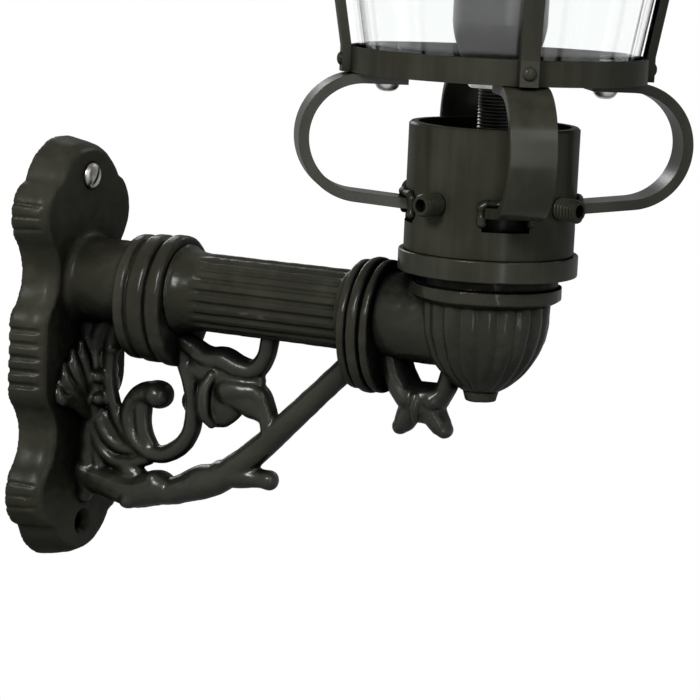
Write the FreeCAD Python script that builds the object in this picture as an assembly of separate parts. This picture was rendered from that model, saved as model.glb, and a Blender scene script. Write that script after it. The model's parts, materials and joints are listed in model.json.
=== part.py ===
import FreeCAD, Part
import math
import os
from FreeCAD import Vector

# Cast wall lantern: scrolled bracket, four-legged lantern socket and round lantern head.
# Millimetres. The origin is on the back of the wall plate, midway between its screw holes.
# X runs out of the wall along the arm, Y runs along the wall, Z is up.

# Fits
thread_gap = 0.05
seat_gap = 0.3
slide_gap = 0.4

# Wall plate: half widths across Y, and heights above the middle
plate_thickness = 18.0
plate_draft = 4.4
plate_edge_round = 2.0
plate_half_height = 103.5
crown_half_width = 30.0
crown_foot_height = 84.0
crown_round_width = 20.5
crown_round_height = 97.0
shoulder_step_width = 34.5
shoulder_step_height = 82.0
shoulder_half_width = 41.2
shoulder_height = 69.0
waist_start_width = 36.0
waist_start_height = 54.0
waist_half_width = 31.0
waist_height = 40.0
waist_end_height = 25.0
bulge_half_width = 41.0
bulge_half_height = 15.0
bulge_corner = 1.2
edge_groove_radius = 1.7
edge_groove_pitch = 6.6
edge_groove_count = 5
shoulder_groove_radius = 1.0
shoulder_groove_count = 3
wall_hole_spacing = 171.0
wall_hole_radius = 3.5
wall_countersink_radius = 6.8
wire_pocket_radius = 24.0
wire_pocket_depth = 9.0

# Arm: a conduit carries the castings, which stack along it from the wall plate to the cup
arm_height = 35.6
boss_radius = 20.2
boss_root_round = 4.0
boss_end = 46.5
inner_collar_length = 26.5
fluted_tube_length = 93.0
outer_collar_length = 16.0
conduit_radius = 8.0
conduit_wall = 2.0
conduit_setback = 2.0
conduit_gap = 0.2
lock_nut_flats = 24.0
lock_nut_thickness = 6.0

# Collars: oval rings, set lower than the arm to take the scrollwork under it
collar_drop = 5.6
collar_half_height = 31.4
collar_half_width = 26.5
collar_side_shrink = 1.4
collar_groove = 1.8
collar_groove_width = 1.2
bead_round = 0.3
inner_thin_bead = 6.2
inner_front_bead = 8.0
outer_thin_bead = 4.4
outer_front_bead = 4.0

# Fluted tube
tube_radius = 18.6
tube_bore = 13.5
tube_lip_radius = 21.0
tube_lip_length = 2.0
tube_band = 0.9
tube_band_length = 4.0
flute_count = 20
flute_radius = 1.6
flute_depth = 1.1

# Elbow and gadrooned cup
cup_axis_x = 228.5
elbow_radius = 20.2
bowl_radius = 29.2
bowl_bottom = 6.4
bowl_seat_radius = 8.5
bowl_belly_radius = 24.6
bowl_belly_height = 22.7
bowl_curve_top = 41.0
bowl_top = 47.3
bowl_ledge = 0.6
rim_radius = 33.7
rim_bottom = 49.6
rim_top = 55.2
neck_radius = 32.0
neck_top = 60.3
gadroon_count = 20
gadroon_depth = 1.6
gadroon_sections = 6
cup_cavity_radius = 22.0
cup_cavity_bottom = 25.0
cup_thread_radius = 24.0
conduit_nut_room = 1.0

# Drain plug, the nub under the cup
plug_radius = 8.2
plug_tip_radius = 7.0
plug_bottom = 1.9
plug_stem_radius = 5.0

# Scrollwork: one flat casting in the plane of the arm, with heights measured from the origin
branch_root_height = -62.0
branch_bend_x = 66.0
branch_rise_x = 101.0
branch_rise_height = -48.0
branch_end_height = 16.2
branch_radius = 7.6
branch_tip_radius = 6.2
branch_first_bend = 30.0
branch_second_bend = 40.0
bud_start_x = 106.0
bud_start_height = -46.5
bud_tip_x = 127.0
bud_tip_height = -51.0
bud_radius = 5.6
bud_tip_radius = 3.2
foot_bar_radius = 9.0
foot_bar_top = 12.0
foot_bar_bottom = -70.0
strand_radius = 4.1
loop_left_x = 31.5
loop_left_height = -14.0
loop_bottom_x = 58.0
loop_bottom_height = -45.7
loop_right_x = 79.5
loop_right_height = -23.5
loop_start_x = 32.0
loop_end_x = 70.5
loop_left_bend = 60.0
loop_heel_bend = 16.0
loop_toe_bend = 18.0
loop_end_bend = 30.0
root_strand_radius = 3.7
root_strand_start = -26.0
root_strand_corner_x = 26.0
root_strand_height = -51.8
root_strand_end_x = 52.0
root_strand_bend = 14.0
curl_left_x = 42.5
curl_shoulder_height = -26.0
curl_radius = 11.0
knob_x = 59.0
knob_height = -17.0
knob_radius = 7.6
stalk_x = 52.0
stalk_radius = 4.6

# Lily on the scrollwork: a bulb on the loop's outer side, a petal up to the tube and one down to the branch
bulb_start_x = 81.0
bulb_start_height = -19.0
bulb_end_x = 110.0
bulb_end_height = -5.0
bulb_foot_radius = 11.0
bulb_belly_radius = 14.5
bulb_belly_length = 10.0
bulb_mouth_radius = 6.5
bulb_flatness = 0.6
petal_radius = 4.8
petal_tip_radius = 4.0
petal_tube_gap = 0.2
upper_petal_start_x = 71.0
upper_petal_start_height = 12.0
upper_petal_dip_x = 89.0
upper_petal_dip_height = 5.2
upper_petal_turn_x = 113.0
upper_petal_turn_height = 3.4
upper_petal_end_x = 120.0
upper_petal_dip_bend = 30.0
upper_petal_turn_bend = 9.0
lower_petal_turn_x = 116.0
lower_petal_turn_height = -9.0
lower_petal_end_x = 121.0
lower_petal_end_height = -28.0
lower_petal_bend = 6.0

# Pendant leaf under the elbow
pendant_half_thickness = 8.0
pendant_swell_radius = 50.0
pendant_left_x = 186.0
pendant_right_x = 215.0
pendant_leg_bottom = -18.5
pendant_left_leg = 8.5
pendant_right_leg = 8.0
pendant_right_lift = 1.0
pendant_left_waist_x = 188.5
pendant_left_waist_height = -4.0
pendant_right_waist_x = 210.2
pendant_right_waist_height = -3.0
pendant_right_shoulder_x = 214.0
pendant_right_shoulder_height = 6.0
pendant_root_x = 214.0
pendant_notch_x = 199.5
pendant_notch_height = -12.5
pendant_hole_x = 200.6
pendant_hole_height = 11.5
pendant_hole_half_length = 9.4
pendant_hole_half_height = 6.0

# Spigot on top of the cup
flange_radius = 40.2
flange_thickness = 9.5
spigot_floor = 4.0
spigot_wall = 5.6
spigot_height = 47.0
spigot_cable_radius = 7.0
terminal_length = 30.0
terminal_width = 12.0
terminal_height = 14.0
terminal_offset = 14.0
terminal_hole_radius = 2.2
terminal_ways = 3
earth_screw_radius = 2.5
earth_head_radius = 4.5
earth_head_height = 3.5

# Lantern socket and its four strap legs
socket_radius = 38.0
socket_wall = 4.0
socket_length = 56.3
socket_chamfer = 1.0
leg_count = 4
leg_first_angle = 35.0
leg_width = 20.0
leg_thickness = 4.6
leg_bend_radius = 26.0
leg_bend_centre = 60.0
leg_bend_height = 119.0
leg_rise_angle = 6.0
leg_foot_inner = 41.0
leg_slot_height = 6.0
leg_slot_side = 0.5
leg_bolt_circle = 49.0
set_screw_radius = 5.0
set_screw_lag = 4.0
set_screw_height = 92.5
set_screw_stand_out = 11.0
set_screw_key_radius = 2.7
set_screw_key_depth = 5.0
leg_bolt_radius = 3.0
leg_bolt_head_radius = 5.5
leg_bolt_head_height = 3.4
leg_nut_flats = 10.0
leg_nut_thickness = 5.0

# Base tray, cable tube and lamp
tray_margin = 5.0
tray_sheet = 2.5
tray_lip_height = 11.0
gasket_thickness = 2.0
gasket_overhang = 0.5
cable_tube_radius = 8.0
cable_tube_bore = 5.5
cable_tube_below = 34.0
cable_tube_above = 15.0
stem_nut_flats = 24.0
stem_nut_thickness = 5.0
holder_base_radius = 16.0
holder_radius = 21.0
holder_height = 45.0
holder_seat = 16.0
holder_bore = 14.2
lamp_cap_radius = 13.2
lamp_cap_height = 27.0
bulb_radius = 30.0
bulb_height = 82.0
bulb_neck_radius = 12.6
bulb_glass = 1.2

# Glass shade, ribs and top ring
glass_bottom_radius = 61.0
glass_top_radius = 92.0
glass_wall = 3.0
glass_height = 176.0
rib_width = 8.0
rib_thickness = 4.0
ring_margin = 4.0
ring_width = 8.0
ring_thickness = 8.0

# Canopy, its hinge and the closing screw
canopy_overhang = 4.0
canopy_sheet = 2.4
canopy_rim_width = 10.0
canopy_lip = 5.0
canopy_neck_radius = 26.0
canopy_height = 72.0
canopy_waist_radius = 52.0
canopy_waist_height = 26.0
hinge_stand_off = 7.5
hinge_rise = 0.7
knuckle_radius = 4.5
knuckle_length = 11.6
knuckle_gap = 0.4
hinge_pin_radius = 2.5
hinge_pin_end = 1.5
hinge_half_width = 15.0
hinge_plate = 6.0
hinge_plate_drop = 2.0
hinge_leaf_sheet = 3.2
closing_screw_radius = 2.5
closing_screw_clearance = 0.6
closing_head_radius = 6.0
closing_head_height = 7.0
closing_tongue_half_width = 9.0
closing_lug_thickness = 5.0
closing_stand_off = 6.0

# Vent and finial
vent_height = 18.0
vent_wall = 2.5
vent_slot_count = 12
vent_slot_width = 5.0
vent_slot_margin = 4.0
cap_radius = 38.0
cap_height = 17.0
cap_edge = 3.0
finial_base_radius = 8.0
finial_ball_radius = 9.0
finial_neck_radius = 4.0
finial_tip_radius = 0.8
finial_height = 38.0

# Places that follow from the sizes above
X_AXIS = Vector(1, 0, 0)
Y_AXIS = Vector(0, 1, 0)
Z_AXIS = Vector(0, 0, 1)
plate_side_depth = plate_thickness - 2.5 * plate_edge_round
plate_side_inset = 0.6 * plate_draft
collar_height = arm_height - collar_drop
inner_collar_end = boss_end + inner_collar_length
tube_end = inner_collar_end + fluted_tube_length
elbow_start = tube_end + outer_collar_length
conduit_hole = conduit_radius + conduit_gap
cup_nut_seat = cup_axis_x - cup_cavity_radius + conduit_nut_room
conduit_end = cup_nut_seat + lock_nut_thickness + conduit_nut_room
lock_nut_corner = lock_nut_flats / math.sqrt(3)
stub_bottom = arm_height + lock_nut_corner + conduit_nut_room
spigot_floor_top = neck_top + spigot_floor
flange_top = neck_top + flange_thickness
socket_bottom = flange_top + seat_gap
socket_bore = socket_radius - socket_wall
spigot_radius = socket_bore - slide_gap
tray_bottom = leg_bend_height + leg_bend_radius + leg_thickness / 2
tray_floor = tray_bottom + tray_sheet
tray_radius = glass_bottom_radius + tray_margin
glass_bottom = tray_floor + gasket_thickness
glass_top = glass_bottom + glass_height
ring_bottom = glass_top + gasket_thickness
ring_top = ring_bottom + ring_thickness
ring_radius = glass_top_radius + ring_margin
canopy_radius = ring_radius + rib_thickness + canopy_overhang
hinge_reach = canopy_radius + hinge_stand_off
closing_reach = canopy_radius + closing_stand_off
rim_underside = ring_top + seat_gap
rim_upper = rim_underside + canopy_sheet
hinge_height = rim_underside + hinge_rise
canopy_top = rim_upper + canopy_height
vent_top = canopy_top + vent_height
cap_top = vent_top + cap_height
holder_bottom = tray_floor + stem_nut_thickness
lamp_seat = holder_bottom + holder_seat
bulb_bottom = lamp_seat + lamp_cap_height
hinge_angle = leg_first_angle + 90.0
set_screw_angle = leg_first_angle + 180.0 / leg_count - set_screw_lag


# Drawing helpers

def face_from(place, start, *steps):
    """Closed face. A step is a point, or a pair: a point on the arc and the arc's end."""
    edges = []
    here = start
    for step in steps + (start,):
        if isinstance(step[0], tuple):
            middle, there = step
            edges.append(Part.Arc(place(*here), place(*middle), place(*there)).toShape())
        elif step != here:
            there = step
            edges.append(Part.LineSegment(place(*here), place(*there)).toShape())
        here = there
    return Part.Face(Part.Wire(edges))


def turned(start, *steps):
    """Solid of revolution about the Z axis, from points (radius, height)."""
    face = face_from(lambda r, z: Vector(r, 0, z), start, *steps)
    return face.revolve(Vector(), Z_AXIS, 360)


def turned_on_arm(start, *steps):
    """Solid of revolution about the arm, from points (x, radius)."""
    face = face_from(lambda x, r: Vector(x, 0, arm_height + r), start, *steps)
    return face.revolve(Vector(0, 0, arm_height), X_AXIS, 360)


def on_cup(shape, angle=0.0):
    """Turn a piece drawn about the Z axis by an angle and carry it to the cup's axis."""
    copy = shape.copy()
    copy.rotate(Vector(), Z_AXIS, angle)
    copy.translate(Vector(cup_axis_x, 0, 0))
    return copy


def post(radius, bottom, top, x=0.0, y=0.0):
    """Upright cylinder."""
    return Part.makeCylinder(radius, top - bottom, Vector(x, y, bottom))


def bar(radius, start, end, z, y=0.0):
    """Cylinder along X."""
    return Part.makeCylinder(radius, end - start, Vector(start, y, z), X_AXIS)


def block(x0, x1, half_width, z0, z1):
    """Box centred on Y = 0."""
    return Part.makeBox(x1 - x0, 2 * half_width, z1 - z0, Vector(x0, -half_width, z0))


def hexagon(flats, length, base, direction):
    """Hexagonal bar of a given width across flats."""
    corner = flats / math.sqrt(3)
    corners = [Vector(corner * math.cos(math.radians(60 * k)), corner * math.sin(math.radians(60 * k)), 0)
               for k in range(7)]
    shape = Part.Face(Part.makePolygon(corners)).extrude(Vector(0, 0, length))
    shape.Placement = FreeCAD.Placement(base, FreeCAD.Rotation(Z_AXIS, direction))
    return shape


def around(shape, count, first=0.0):
    """Copies of a shape in a ring about the Z axis."""
    copies = []
    for k in range(count):
        copy = shape.copy()
        copy.rotate(Vector(), Z_AXIS, first + 360.0 * k / count)
        copies.append(copy)
    return copies


def rounded_path(points, bends):
    """Wire through points (x, z) in the arm's plane, with a tangent arc of a given radius at each corner."""
    corners = [Vector(x, 0, z) for x, z in points]
    edges = []
    here = corners[0]
    for before, corner, after, bend in zip(corners, corners[1:], corners[2:], bends):
        back = (before - corner).normalize()
        ahead = (after - corner).normalize()
        half_angle = back.getAngle(ahead) / 2
        setback = bend / math.tan(half_angle)
        middle = (back + ahead).normalize()
        centre = corner + middle * (bend / math.sin(half_angle))
        arc_start = corner + back * setback
        arc_end = corner + ahead * setback
        edges.append(Part.LineSegment(here, arc_start).toShape())
        edges.append(Part.Arc(arc_start, centre - middle * bend, arc_end).toShape())
        here = arc_end
    edges.append(Part.LineSegment(here, corners[-1]).toShape())
    return Part.Wire(edges)


def ring_at(wire, radius, at_end=False):
    """Circle square to the first or last edge of a path."""
    edge = wire.Edges[-1] if at_end else wire.Edges[0]
    parameter = edge.LastParameter if at_end else edge.FirstParameter
    circle = Part.Circle(edge.valueAt(parameter), edge.tangentAt(parameter), radius)
    return Part.Wire(circle.toShape())


def rod(wire, radius, end_radius=None):
    """Round rod along a path, tapering to another radius where one is given."""
    shell = Part.BRepOffsetAPI.MakePipeShell(wire)
    shell.add(ring_at(wire, radius))
    if end_radius is not None:
        shell.add(ring_at(wire, end_radius, True))
    shell.build()
    shell.makeSolid()
    return shell.shape()


# Bracket

def plate_outline(depth, inset):
    """Outline of the wall plate at a depth, drawn in from the back outline by an inset."""
    def place(y, z):
        return Vector(depth, y, z)

    def arc(start, middle, end):
        return Part.Arc(place(*start), place(*middle), place(*end)).toShape()

    crown = (0.0, plate_half_height - inset)
    crown_round = (crown_round_width - 0.7 * inset, crown_round_height - 0.7 * inset)
    crown_foot = (crown_half_width - inset, crown_foot_height)
    step = (shoulder_step_width - inset, shoulder_step_height)
    shoulder = (shoulder_half_width - inset, shoulder_height)
    waist_start = (waist_start_width - inset, waist_start_height)
    waist = (waist_half_width - inset, waist_height)
    waist_end = (waist_start_width - inset, waist_end_height)
    bulge_width = bulge_half_width - inset
    bulge_round = (bulge_width - bulge_corner, (waist_end_height + bulge_half_height) / 2)
    bulge = (bulge_width, bulge_half_height)
    quarter = [
        arc(crown, crown_round, crown_foot),
        Part.LineSegment(place(*crown_foot), place(*step)).toShape(),
        arc(step, shoulder, waist_start),
        arc(waist_start, waist, waist_end),
        arc(waist_end, bulge_round, bulge),
        Part.LineSegment(place(*bulge), place(bulge_width, 0.0)).toShape(),
    ]
    half = quarter + [edge.mirror(Vector(), Z_AXIS) for edge in reversed(quarter)]
    whole = half + [edge.mirror(Vector(), Y_AXIS) for edge in reversed(half)]
    return Part.Wire(Part.__sortEdges__(whole))


def edge_groove(place, outward, radius):
    """Groove across the plate's edge, from a place on the back outline, that follows the edge's draft."""
    draft = (X_AXIS * plate_side_depth - outward * plate_side_inset).normalize()
    start = place + outward * (radius / 3) - draft * radius
    return Part.makeCylinder(radius, plate_thickness + 2 * radius, start, draft)


def shoulder_grooves():
    """Shallow grooves fanned round the plate's four shoulders."""
    shoulder = Part.Arc(Vector(0, shoulder_step_width, shoulder_step_height),
                        Vector(0, shoulder_half_width, shoulder_height),
                        Vector(0, waist_start_width, waist_start_height)).toShape().Curve
    grooves = []
    for k in range(shoulder_groove_count):
        turn = edge_groove_pitch * (k - (shoulder_groove_count - 1) / 2) / shoulder.Radius
        outward = Vector(0, math.cos(turn), math.sin(turn))
        groove = edge_groove(shoulder.Center + outward * shoulder.Radius, outward, shoulder_groove_radius)
        pair = [groove, groove.mirror(Vector(), Z_AXIS)]
        grooves += pair + [side.mirror(Vector(), Y_AXIS) for side in pair]
    return grooves


def wall_plate():
    sections = [(0.0, 0.0), (plate_side_depth, plate_side_inset),
                (plate_thickness - 0.8 * plate_edge_round, plate_draft),
                (plate_thickness, plate_draft + plate_edge_round)]
    plate = Part.makeLoft([plate_outline(depth, inset) for depth, inset in sections], True, True)
    root = plate_thickness + boss_root_round
    boss = turned_on_arm(
        (wire_pocket_depth, 0.0),
        (wire_pocket_depth, boss_radius + boss_root_round),
        (plate_thickness, boss_radius + boss_root_round),
        ((root - 0.7 * boss_root_round, boss_radius + 0.3 * boss_root_round), (root, boss_radius)),
        (boss_end, boss_radius),
        (boss_end, 0.0))
    cuts = [bar(wire_pocket_radius, 0.0, wire_pocket_depth, arm_height),
            bar(conduit_hole, 0.0, boss_end, arm_height)]
    sink = wall_countersink_radius - wall_hole_radius
    for side in (-1, 1):
        height = side * wall_hole_spacing / 2
        cuts.append(bar(wall_hole_radius, 0.0, plate_thickness, height))
        cuts.append(Part.makeCone(wall_hole_radius, wall_countersink_radius, sink,
                                  Vector(plate_thickness - sink, 0, height), X_AXIS))
        for k in range(edge_groove_count):
            groove_height = edge_groove_pitch * (k - (edge_groove_count - 1) / 2)
            place = Vector(0, side * bulge_half_width, groove_height)
            cuts.append(edge_groove(place, Y_AXIS * side, edge_groove_radius))
    return plate.fuse(boss).cut(cuts + shoulder_grooves())


def oval_prism(start, width, shrink):
    """Oval disc across the arm, smaller than the collar's outline by a shrink."""
    centre = Vector(start, 0, collar_height)
    tall = centre + Vector(0, 0, collar_half_height - shrink)
    wide = centre + Vector(0, collar_half_width - shrink, 0)
    oval = Part.Ellipse(tall, wide, centre).toShape()
    return Part.Face(Part.Wire(oval)).extrude(Vector(width, 0, 0))


def collar(start, beads):
    """Oval collar of rounded beads, each given as its width and its shrink."""
    length = sum(width for width, shrink in beads) + collar_groove_width * (len(beads) - 1)
    core_shrink = collar_groove + max(shrink for width, shrink in beads)
    solid = oval_prism(start, length, core_shrink)
    here = start
    for width, shrink in beads:
        bead = oval_prism(here, width, shrink)
        solid = solid.fuse(bead.makeFillet(bead_round * width, bead.Edges))
        here += width + collar_groove_width
    return solid.cut(bar(conduit_hole, start, start + length, arm_height))


def inner_collar():
    middle = inner_collar_length - inner_thin_bead - inner_front_bead - 2 * collar_groove_width
    return collar(boss_end, [(inner_thin_bead, collar_side_shrink), (middle, collar_side_shrink / 2),
                             (inner_front_bead, 0.0)])


def outer_collar():
    middle = outer_collar_length - outer_thin_bead - outer_front_bead - 2 * collar_groove_width
    return collar(tube_end, [(outer_thin_bead, collar_side_shrink), (middle, 0.0),
                             (outer_front_bead, collar_side_shrink / 2)])


def fluted_tube():
    lip_end = inner_collar_end + tube_lip_length
    band_start = tube_end - tube_band_length
    band_radius = tube_radius + tube_band
    tube = turned_on_arm(
        (inner_collar_end, tube_bore),
        (inner_collar_end, tube_lip_radius),
        (lip_end, tube_radius),
        (band_start, tube_radius),
        (band_start, band_radius),
        (tube_end, band_radius),
        (tube_end, tube_bore))
    flutes = []
    for k in range(flute_count):
        angle = 2 * math.pi * (k + 0.5) / flute_count
        reach = tube_radius + flute_radius - flute_depth
        flutes.append(bar(flute_radius, lip_end, band_start,
                          arm_height + reach * math.cos(angle), reach * math.sin(angle)))
    return tube.cut(flutes)


def scalloped_ring(radius, height):
    """Ring of outward arcs about the Z axis, as deep as the gadroons are at this radius."""
    valley = radius * (1 - gadroon_depth / bowl_radius)
    half_step = math.pi / gadroon_count

    def at(reach, halves):
        return Vector(reach * math.cos(halves * half_step), reach * math.sin(halves * half_step), height)

    arcs = [Part.Arc(at(valley, 2 * k), at(radius, 2 * k + 1), at(valley, 2 * k + 2)).toShape()
            for k in range(gadroon_count)]
    return Part.Wire(arcs)


def cup_body():
    side = Part.Arc(Vector(bowl_seat_radius, 0, bowl_bottom), Vector(bowl_belly_radius, 0, bowl_belly_height),
                    Vector(bowl_radius, 0, bowl_curve_top)).toShape()
    rings = [scalloped_ring(place.x, place.z) for place in side.discretize(gadroon_sections)]
    rings.append(scalloped_ring(bowl_radius, bowl_top))
    bowl = Part.makeLoft(rings, True)
    head = turned(
        (0.0, bowl_top),
        (bowl_radius + bowl_ledge, bowl_top),
        (rim_radius, rim_bottom),
        (rim_radius, rim_top),
        (neck_radius, rim_top),
        (neck_radius, neck_top),
        (0.0, neck_top))
    return bowl.fuse(head)


def elbow_cup():
    elbow = bar(elbow_radius, elbow_start, cup_axis_x, arm_height)
    cavity = post(cup_cavity_radius, cup_cavity_bottom, stub_bottom, cup_axis_x)
    thread = post(cup_thread_radius, stub_bottom, neck_top, cup_axis_x)
    plug_hole = post(plug_stem_radius + thread_gap, bowl_bottom, cup_cavity_bottom, cup_axis_x)
    nut_seat = bar(lock_nut_corner + conduit_nut_room, cup_nut_seat, cup_axis_x, arm_height)
    conduit_bore = bar(conduit_hole, elbow_start, cup_axis_x, arm_height)
    solid = on_cup(cup_body()).fuse(elbow)
    return solid.cut([cavity, thread, plug_hole, nut_seat, conduit_bore])


def drain_plug():
    stem_top = cup_cavity_bottom - conduit_nut_room
    return on_cup(turned(
        (0.0, plug_bottom),
        (plug_tip_radius, plug_bottom),
        (plug_radius, bowl_bottom),
        (plug_stem_radius, bowl_bottom),
        (plug_stem_radius, stem_top),
        (0.0, stem_top)))


def conduit():
    outer = bar(conduit_radius, conduit_setback, conduit_end, arm_height)
    return outer.cut(bar(conduit_radius - conduit_wall, conduit_setback, conduit_end, arm_height))


def conduit_nut(start):
    nut = hexagon(lock_nut_flats, lock_nut_thickness, Vector(start, 0, arm_height), X_AXIS)
    return nut.cut(bar(conduit_radius + thread_gap, start, start + lock_nut_thickness, arm_height))


def branch():
    """Twig that rises from the wall plate to the outer collar, with a bud under it."""
    points = [(plate_thickness - branch_radius, branch_root_height), (branch_bend_x, branch_root_height),
              (branch_rise_x, branch_rise_height), (tube_end + branch_radius, branch_end_height)]
    path = rounded_path(points, [branch_first_bend, branch_second_bend])
    bud_start = Vector(bud_start_x, 0, bud_start_height)
    bud_line = Vector(bud_tip_x, 0, bud_tip_height) - bud_start
    tip_centre = bud_line.Length - bud_tip_radius
    tip_slant = bud_tip_radius * math.sqrt(0.5)
    bud = turned(
        (0.0, 0.0),
        (bud_radius, 0.0),
        (bud_tip_radius, tip_centre),
        ((tip_slant, tip_centre + tip_slant), (0.0, bud_line.Length)))
    bud.Placement = FreeCAD.Placement(bud_start, FreeCAD.Rotation(Z_AXIS, bud_line))
    return rod(path, branch_radius, branch_tip_radius).fuse(bud)


def quarter_arc(start, centre, end):
    """Arc from start to end whose middle lies on the circle about a centre."""
    radius = (start - centre).Length
    middle = centre + ((start + end) * 0.5 - centre).normalize() * radius
    return Part.Arc(start, middle, end).toShape()


def scroll_loop():
    """Open loop under the inner collar, from the boss round to the collar again."""
    points = [(loop_start_x, arm_height - boss_radius / 2), (loop_left_x, loop_left_height),
              (loop_left_x + strand_radius, loop_bottom_height), (loop_right_x, loop_bottom_height),
              (loop_right_x, loop_right_height), (loop_end_x, collar_height - collar_half_height / 2)]
    bends = [loop_left_bend, loop_heel_bend, loop_toe_bend, loop_end_bend]
    return rod(rounded_path(points, bends), strand_radius)


def curl():
    """Shoot that rises inside the loop and curls over to a knob, with a stalk under the knob."""
    base = Vector(loop_bottom_x, 0, loop_bottom_height)
    stem_low = Vector(curl_left_x, 0, loop_bottom_height + loop_bottom_x - curl_left_x)
    shoulder = Vector(curl_left_x, 0, curl_shoulder_height)
    top = Vector(curl_left_x + curl_radius, 0, curl_shoulder_height + curl_radius)
    bend_centre = Vector(loop_bottom_x, 0, stem_low.z)
    curl_centre = Vector(curl_left_x + curl_radius, 0, curl_shoulder_height)
    edges = [quarter_arc(base, bend_centre, stem_low), Part.LineSegment(stem_low, shoulder).toShape(),
             quarter_arc(shoulder, curl_centre, top)]
    knob = Part.makeSphere(knob_radius, Vector(knob_x, 0, knob_height))
    stalk = post(stalk_radius, loop_bottom_height, knob_height, stalk_x)
    return rod(Part.Wire(edges), strand_radius).fuse([knob, stalk])


def root_strand():
    """Strand from the wall plate that joins the branch to the foot of the loop."""
    points = [(plate_thickness - root_strand_radius, root_strand_start),
              (root_strand_corner_x, root_strand_height), (root_strand_end_x, root_strand_height)]
    return rod(rounded_path(points, [root_strand_bend]), root_strand_radius)


def lens(x, z, half_thickness, radius):
    """Double-domed disc across Y, which swells a flat leaf in the middle."""
    offset = radius - half_thickness
    near = Part.makeSphere(radius, Vector(x, offset, z))
    return near.common(Part.makeSphere(radius, Vector(x, -offset, z)))


def lily():
    """Flattened bulb on the loop's outer side with two petals."""
    foot = Vector(bulb_start_x, 0, bulb_start_height)
    line = Vector(bulb_end_x, 0, bulb_end_height) - foot
    bulb = turned(
        (0.0, 0.0),
        (bulb_foot_radius, 0.0),
        ((bulb_belly_radius, bulb_belly_length), (bulb_mouth_radius, line.Length)),
        (0.0, line.Length))
    bulb.Placement = FreeCAD.Placement(foot, FreeCAD.Rotation(Z_AXIS, line))
    flatten = FreeCAD.Matrix()
    flatten.scale(1.0, bulb_flatness, 1.0)
    upper = rounded_path([(upper_petal_start_x, upper_petal_start_height),
                          (upper_petal_dip_x, upper_petal_dip_height),
                          (upper_petal_turn_x, upper_petal_turn_height),
                          (upper_petal_end_x, arm_height - tube_radius + petal_radius)],
                         [upper_petal_dip_bend, upper_petal_turn_bend])
    lower = rounded_path([(bulb_end_x - bulb_mouth_radius, bulb_end_height),
                          (lower_petal_turn_x, lower_petal_turn_height),
                          (lower_petal_end_x, lower_petal_end_height)],
                         [lower_petal_bend])
    petals = [rod(upper, petal_radius, petal_tip_radius), rod(lower, petal_radius, petal_tip_radius)]
    return bulb.transformGeometry(flatten).fuse(petals)


def scrollwork():
    foot = post(foot_bar_radius, foot_bar_bottom, foot_bar_top, plate_thickness)
    solid = branch().fuse([scroll_loop(), curl(), root_strand(), lily(), foot])
    far = plate_half_height
    behind = block(-far, plate_thickness, far, -far, far)
    collars = [oval_prism(boss_end, inner_collar_length, 0.0), oval_prism(tube_end, outer_collar_length, 0.0)]
    boss = bar(boss_radius + boss_root_round, 0.0, boss_end, arm_height)
    lip = bar(tube_lip_radius, inner_collar_end, inner_collar_end + tube_lip_length, arm_height)
    tube = bar(tube_radius + petal_tube_gap, inner_collar_end, tube_end, arm_height)
    return solid.cut([behind, boss, lip, tube] + collars)


def pendant_leaf():
    """Forked leaf that hangs in the corner of the elbow and the bowl."""
    face = face_from(
        lambda x, z: Vector(x, -pendant_half_thickness, z),
        (pendant_left_x, arm_height - elbow_radius / 2),
        ((pendant_left_waist_x, pendant_left_waist_height), (pendant_left_x, pendant_leg_bottom)),
        (pendant_left_x + pendant_left_leg, pendant_leg_bottom),
        (pendant_notch_x, pendant_notch_height),
        (pendant_right_x - pendant_right_leg, pendant_leg_bottom),
        (pendant_right_x, pendant_leg_bottom + pendant_right_lift),
        ((pendant_right_waist_x, pendant_right_waist_height),
         (pendant_right_shoulder_x, pendant_right_shoulder_height)),
        (pendant_root_x, arm_height - elbow_radius / 2))
    slab = face.extrude(Vector(0, 2 * pendant_half_thickness, 0))
    centre = Vector(pendant_hole_x, -pendant_half_thickness, pendant_hole_height)
    hole = Part.Ellipse(centre + Vector(pendant_hole_half_length, 0, 0),
                        centre + Vector(0, 0, pendant_hole_half_height), centre).toShape()
    hole_prism = Part.Face(Part.Wire(hole)).extrude(Vector(0, 2 * pendant_half_thickness, 0))
    middle_height = (arm_height - elbow_radius + pendant_leg_bottom) / 2
    swell = lens(pendant_notch_x, middle_height, pendant_half_thickness, pendant_swell_radius)
    elbow = bar(elbow_radius, elbow_start, cup_axis_x, arm_height)
    return slab.common(swell).cut([hole_prism, elbow, on_cup(cup_body())])


def spigot():
    bore = spigot_radius - spigot_wall
    solid = turned(
        (spigot_cable_radius, stub_bottom),
        (cup_thread_radius - thread_gap, stub_bottom),
        (cup_thread_radius - thread_gap, neck_top),
        (flange_radius, neck_top),
        (flange_radius, flange_top),
        (spigot_radius, flange_top),
        (spigot_radius, flange_top + spigot_height),
        (bore, flange_top + spigot_height),
        (bore, spigot_floor_top),
        (spigot_cable_radius, spigot_floor_top))
    earth_hole = post(earth_screw_radius, stub_bottom, spigot_floor_top, 0.0, -terminal_offset)
    return on_cup(solid.cut(earth_hole))


def terminal_block():
    body = Part.makeBox(terminal_length, terminal_width, terminal_height,
                        Vector(-terminal_length / 2, terminal_offset - terminal_width / 2, spigot_floor_top))
    top = spigot_floor_top + terminal_height
    holes = []
    for k in range(terminal_ways):
        x = terminal_length * ((k + 0.5) / terminal_ways - 0.5)
        holes.append(post(terminal_hole_radius, top - terminal_height / 2, top, x, terminal_offset))
    return on_cup(body.cut(holes))


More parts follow.
